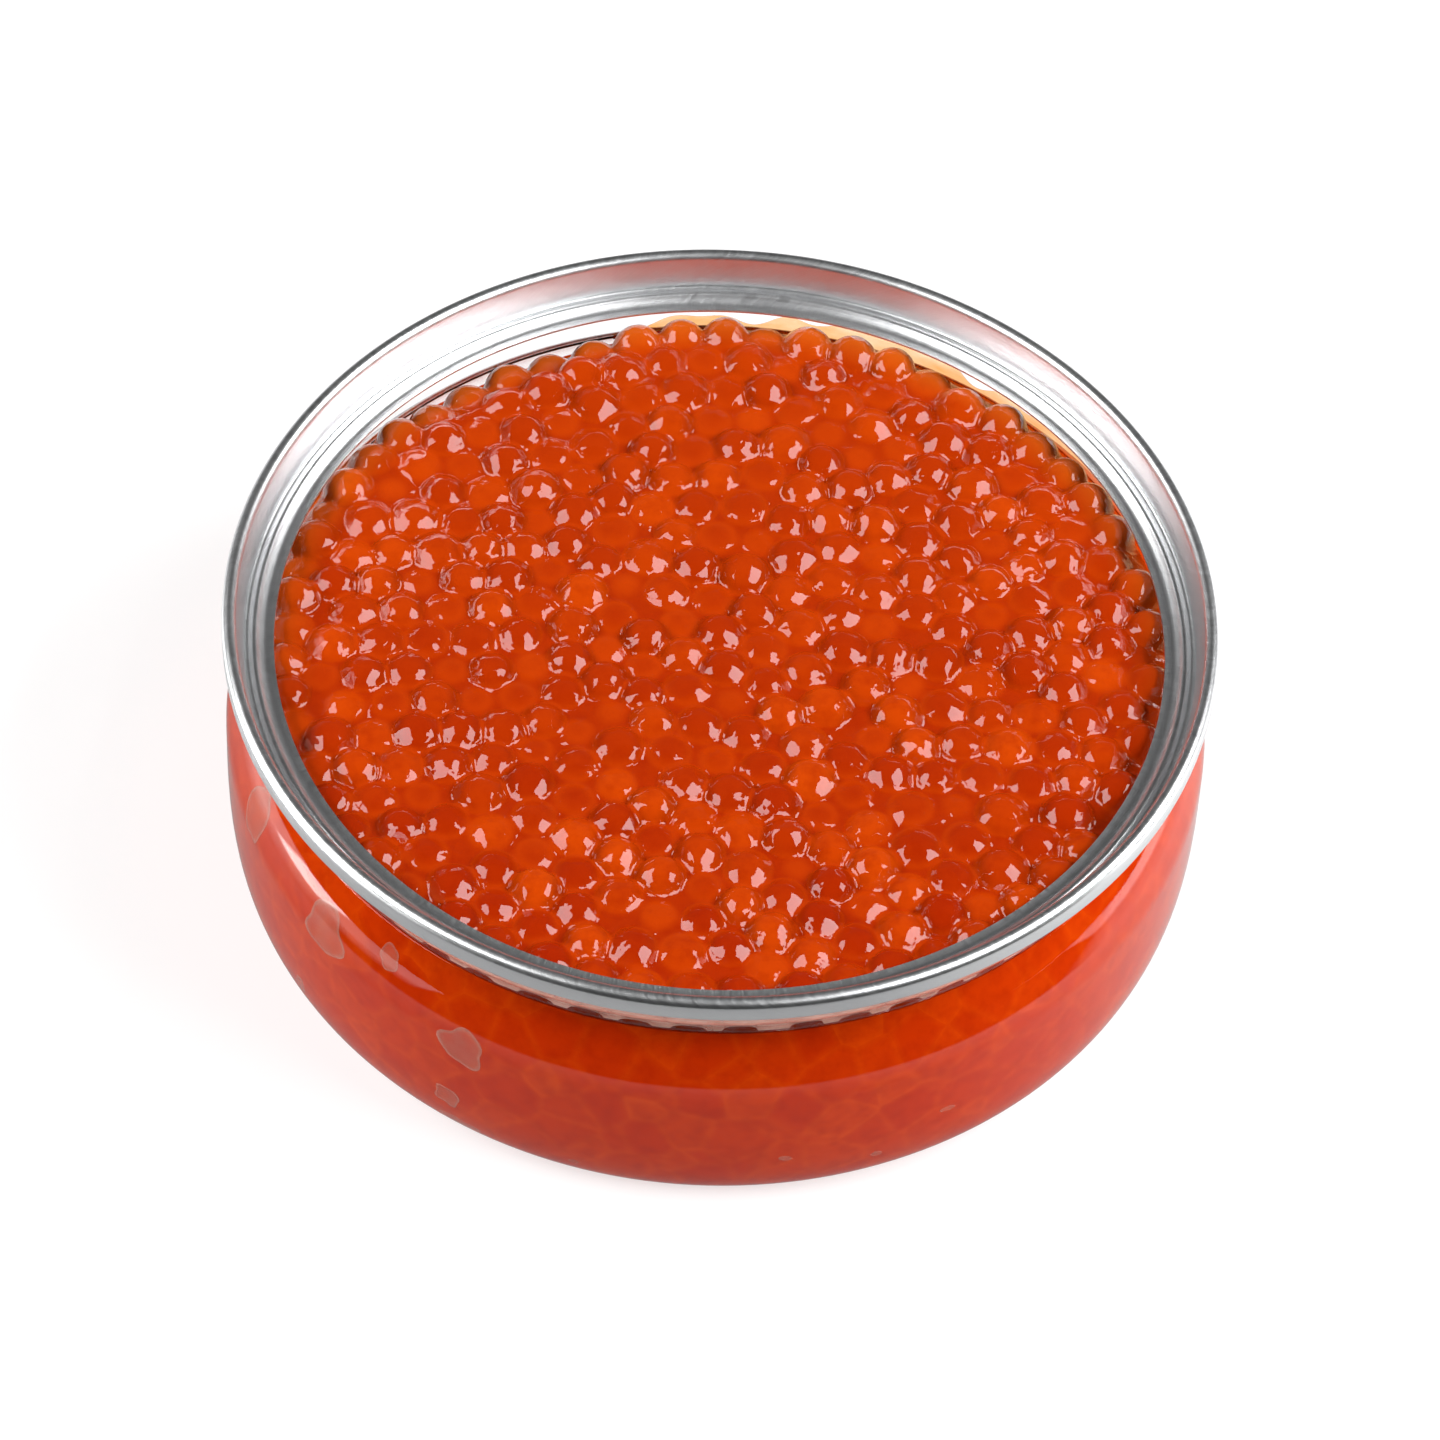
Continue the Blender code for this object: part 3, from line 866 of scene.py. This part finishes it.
def make_light(name, azimuth, elevation, spread, radiance, distance=0.75):
    """Soft rectangular light aimed at the can, as wide and high as its spread in degrees.

    Azimuth 0 is at +X, 90 at the back.
    """
    data = bpy.data.lights.new(name, "AREA")
    data.shape = "RECTANGLE"
    data.size, data.size_y = (2 * distance * math.tan(math.radians(angle / 2)) for angle in spread)
    data.energy = math.pi * radiance * data.size * data.size_y
    light = bpy.data.objects.new(name, data)
    bpy.context.scene.collection.objects.link(light)
    a, e = math.radians(azimuth), math.radians(elevation)
    where = Vector((math.cos(a) * math.cos(e), math.sin(a) * math.cos(e), math.sin(e))) * distance
    light.location = where
    light.rotation_euler = (-where).to_track_quat("-Z", "Y").to_euler()
    light.visible_camera = False
    return light


def make_world():
    """Dim surroundings with a soft glow behind the can, brightest near the horizon."""
    dim = 0.08
    world = bpy.data.worlds.new("studio")
    bpy.context.scene.world = world
    world.use_nodes = True
    tree = world.node_tree
    way = tree.nodes.new("ShaderNodeTexCoord")
    split = tree.nodes.new("ShaderNodeSeparateXYZ")
    tree.links.new(way.outputs["Generated"], split.inputs[0])
    glow = tree.nodes.new("ShaderNodeMath")
    glow.operation = "MULTIPLY"
    for index, (axis, numbers) in enumerate(((2, (0.20, 0.40, 1.0, 0.70)), (1, (-0.2, 0.3, 0.0, 1.0)))):
        span = tree.nodes.new("ShaderNodeMapRange")
        tree.links.new(split.outputs[axis], span.inputs[0])
        for socket, number in enumerate(numbers, 1):
            span.inputs[socket].default_value = number
        tree.links.new(span.outputs[0], glow.inputs[index])
    add = tree.nodes.new("ShaderNodeMath")
    tree.links.new(glow.outputs[0], add.inputs[0])
    add.inputs[1].default_value = dim
    tree.links.new(add.outputs[0], tree.nodes["Background"].inputs[1])


def main():
    """The whole scene: each piece gets its material and hangs under the root, and the imported parts are
    hidden.
    """
    bpy.context.scene.view_settings.view_transform = "Standard"
    make_camera()
    make_floor()
    make_card()
    make_light("key_right", -8, 45, (46, 27), 12.3)
    make_light("fill_left", 188, 43, (40, 25), 10.4)
    make_world()
    place, radius = pack_eggs()
    rng = np.random.default_rng(SEED + 1)
    # Each egg's tone differs at random; the few light ones are also painted light, for light gathered inside
    # some eggs.
    tones = rng.uniform(0, 1, EGG_COUNT) ** 3
    eggs = make_eggs(place, radius, tones, rng)
    film = make_film(place, radius, tones)
    wall_film = make_wall_film()
    pockets = make_air_pockets()
    neck_gap = make_neck_gap(place, radius)
    core = make_core()
    can = make_can()
    ring = make_ring()
    pocket = pocket_material("air_pocket", 0.10, (0.55, 0.24, 0.17, 1), (0.66, 0.38, 0.30, 1))
    gap = pocket_material("neck_gap", 0.50, (0.86, 0.46, 0.35, 1), (0.95, 0.66, 0.56, 1))
    finishes = ((eggs, gel_material("egg_gel"), "roe"), (film, gel_material("roe_liquid"), "roe"),
                (core, mass_material(), "roe"), (can, plastic_material(), "clear_plastic"),
                (wall_film, wall_film_material(), "roe"), (pockets, pocket, "roe"),
                (neck_gap, gap, "roe"), (ring, metal_material(), "rim_metal"))
    for piece, finish, slot in finishes:
        piece.data.materials.append(finish)
        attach(piece, "root")
    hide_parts("roe")
    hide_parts("roe")
    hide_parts("can_body")
    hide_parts("rim_ring")


main()
